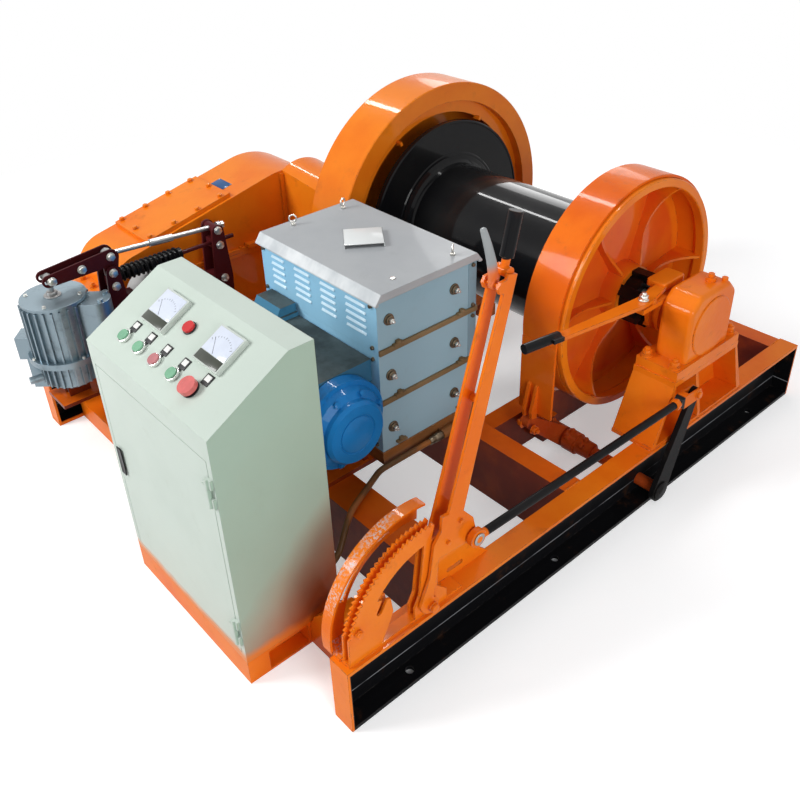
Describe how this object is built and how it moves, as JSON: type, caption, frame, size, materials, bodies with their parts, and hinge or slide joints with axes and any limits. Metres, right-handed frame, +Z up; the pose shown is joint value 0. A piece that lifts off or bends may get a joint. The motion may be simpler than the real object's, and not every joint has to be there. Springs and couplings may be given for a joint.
{
  "type": "electric drum winch on a skid frame, with control desk and hand brake",
  "caption": "Orange skid-mounted electric winch: black flanged drum, band brake with toothed quadrant lever, geared motor, resistor box and control desk",
  "frame": {"origin": "Centre of the foundation bolt pattern, on the floor plane under the skid frame", "axes": "+X along the drum toward the brake wheel, +Y from the control desk side toward the rear, +Z up"},
  "size_m": [1.857, 2.071, 1.1276],
  "materials": {
    "frame_paint": "glossy orange enamel over steel",
    "drum_paint": "glossy black enamel over cast steel",
    "desk_paint": "pale grey green cabinet enamel, stained by rust near the floor",
    "motor_paint": "blue machine enamel",
    "maroon_paint": "dark red brown machine enamel",
    "resistor_paint": "grey blue sheet enamel",
    "lid_paint": "light grey sheet enamel",
    "bronze_paint": "worn brown primer on angle steel",
    "bare_steel": "turned steel, lightly oiled",
    "silver_cast": "silver paint over cast aluminium",
    "steel_rod": "zinc plated steel",
    "grey_cast": "bare cast lever",
    "meter_face": "moulded meter case with a pale face",
    "button_green": "green moulded cap",
    "button_red": "red moulded cap",
    "lamp_red": "red lamp lens",
    "conduit_rubber": "brown sheathed conduit, part painted orange"
  },
  "bodies": {
    "frame": {"side_beam_left": "frame_paint", "side_beam_right": "frame_paint", "front_cross_beam": "frame_paint", "motor_cross_beam": "frame_paint", "middle_cross_beam": "frame_paint", "rear_cross_beam": "frame_paint", "inner_long_beams": "frame_paint", "desk_base_frame": "frame_paint", "desk_cabinet": "desk_paint", "indicator_lamp": "lamp_red", "panel_meters": "meter_face", "gear_guard": "frame_paint", "bearing_stand_left": "frame_paint", "bearing_stand_right": "frame_paint", "bearing_housing_right": "frame_paint", "clutch_bracket": "frame_paint", "brake_band": "frame_paint", "brake_quadrant": "frame_paint", "quadrant_guard": "frame_paint", "gearbox_lower_case": "frame_paint", "gearbox_upper_case": "frame_paint", "gearbox_inspection_cover": "frame_paint", "pinion_shaft_hood": "frame_paint", "motor_body": "motor_paint", "motor_end_bell": "motor_paint", "motor_ring_cover": "motor_paint", "motor_seat": "frame_paint", "resistor_base": "bronze_paint", "resistor_tier_lower": "resistor_paint", "resistor_tier_middle": "resistor_paint", "resistor_tier_upper": "resistor_paint", "resistor_lid": "lid_paint", "thruster_body": "silver_cast", "thruster_brake_base": "frame_paint", "brake_arm_front": "maroon_paint", "brake_spring_tube": "drum_paint", "cable_conduit": "conduit_rubber"},
    "drum": {"drum_barrel": "drum_paint", "drum_flange": "drum_paint", "brake_wheel": "frame_paint", "drum_jaw_hub": "drum_paint"},
    "shaft": {"main_shaft": "bare_steel"},
    "collar": {"clutch_collar": "frame_paint"},
    "clutch_hand_lever": {"clutch_lever": "frame_paint"},
    "hand_lever": {"brake_lever": "frame_paint"},
    "latch": {"latch_handle": "grey_cast"},
    "pull_rod": {"brake_rod": "drum_paint"},
    "band_shaft": {"brake_cross_shaft": "maroon_paint", "brake_arm": "drum_paint"},
    "door": {"desk_door": "desk_paint"},
    "button_1": {"push_button_1": "button_green"},
    "button_2": {"push_button_2": "button_green"},
    "button_3": {"push_button_3": "button_red"},
    "button_4": {"push_button_4": "button_green"},
    "stop_button": {"emergency_stop": "button_red"},
    "lift_rod": {"thruster_rod": "steel_rod"},
    "lift_lever": {"thruster_lever": "maroon_paint"},
    "tie": {"tie_rod": "steel_rod"},
    "rear_arm": {"brake_arm_rear": "maroon_paint"},
    "coupling": {"motor_coupling": "bare_steel"}
  },
  "joints": [
    {"name": "drum_spin", "type": "hinge", "parent": "frame", "child": "drum", "pos_m": [0.1, 0.3785, 0.518], "axis": [1, 0, 0], "continuous": true},
    {"name": "shaft_spin", "type": "hinge", "parent": "frame", "child": "shaft", "pos_m": [0, 0.3785, 0.518], "axis": [1, 0, 0], "continuous": true},
    {"name": "collar_slide", "type": "slide", "parent": "shaft", "child": "collar", "axis": [-1, 0, 0], "range_m": [0, 0.025]},
    {"name": "clutch_lever_swing", "type": "hinge", "parent": "frame", "child": "clutch_hand_lever", "pos_m": [0.705, 0.205, 0.618], "axis": [0, 0, 1], "range_deg": [0, 8.4]},
    {"name": "brake_lever_swing", "type": "hinge", "parent": "frame", "child": "hand_lever", "pos_m": [0.83, -0.73, 0.232], "axis": [1, 0, 0], "range_deg": [0, 70]},
    {"name": "latch_swing", "type": "hinge", "parent": "hand_lever", "child": "latch", "pos_m": [0.807, -0.526, 0.984], "axis": [-1, 0, 0], "range_deg": [0, 16], "stiffness_Nm_per_rad": 4},
    {"name": "brake_rod_swing", "type": "hinge", "parent": "hand_lever", "child": "pull_rod", "pos_m": [0.856, -0.6, 0.37], "axis": [1, 0, 0], "range_deg": [-74, 2]},
    {"name": "band_shaft_turn", "type": "hinge", "parent": "frame", "child": "band_shaft", "pos_m": [0.8, 0.178, 0.048], "axis": [1, 0, 0], "range_deg": [0, 40]},
    {"name": "desk_door_swing", "type": "hinge", "parent": "frame", "child": "door", "pos_m": [0.551, -1.085, 0.38], "axis": [0, 0, 1], "range_deg": [0, 110]},
    {"name": "push_button_1_press", "type": "slide", "parent": "frame", "child": "button_1", "axis": [0, 0.4939, -0.8695], "range_m": [0, 0.004], "stiffness_N_per_m": 400},
    {"name": "push_button_2_press", "type": "slide", "parent": "frame", "child": "button_2", "axis": [0, 0.4939, -0.8695], "range_m": [0, 0.004], "stiffness_N_per_m": 400},
    {"name": "push_button_3_press", "type": "slide", "parent": "frame", "child": "button_3", "axis": [0, 0.4939, -0.8695], "range_m": [0, 0.004], "stiffness_N_per_m": 400},
    {"name": "push_button_4_press", "type": "slide", "parent": "frame", "child": "button_4", "axis": [0, 0.4939, -0.8695], "range_m": [0, 0.004], "stiffness_N_per_m": 400},
    {"name": "emergency_stop_press", "type": "slide", "parent": "frame", "child": "stop_button", "axis": [0, 0.4939, -0.8695], "range_m": [0, 0.005]},
    {"name": "thruster_lift", "type": "slide", "parent": "frame", "child": "lift_rod", "axis": [0, 0, 1], "range_m": [0, 0.04]},
    {"name": "thruster_lever_swing", "type": "hinge", "parent": "frame", "child": "lift_lever", "pos_m": [-0.615, -0.751, 0.582], "axis": [-1, 0, 0], "range_deg": [0, 13]},
    {"name": "tie_rod_swing", "type": "hinge", "parent": "lift_lever", "child": "tie", "pos_m": [-0.615, -0.744, 0.632], "axis": [-1, 0, 0], "range_deg": [-13, 0]},
    {"name": "rear_arm_swing", "type": "hinge", "parent": "frame", "child": "rear_arm", "pos_m": [-0.615, -0.372, 0.24], "axis": [-1, 0, 0], "range_deg": [0, 1.9]},
    {"name": "motor_coupling_spin", "type": "hinge", "parent": "frame", "child": "coupling", "pos_m": [-0.6, -0.6, 0.43], "axis": [1, 0, 0], "continuous": true}
  ],
  "couplings": [
    {"joint": "clutch_lever_swing", "follows": "collar_slide", "rad_per_m": 5.84},
    {"joint": "brake_rod_swing", "follows": "brake_lever_swing", "ratio": -1.035},
    {"joint": "band_shaft_turn", "follows": "brake_lever_swing", "ratio": 0.566},
    {"joint": "thruster_lever_swing", "follows": "thruster_lift", "rad_per_m": 5.4},
    {"joint": "tie_rod_swing", "follows": "thruster_lift", "rad_per_m": -5.58},
    {"joint": "rear_arm_swing", "follows": "thruster_lift", "rad_per_m": 0.742}
  ]
}
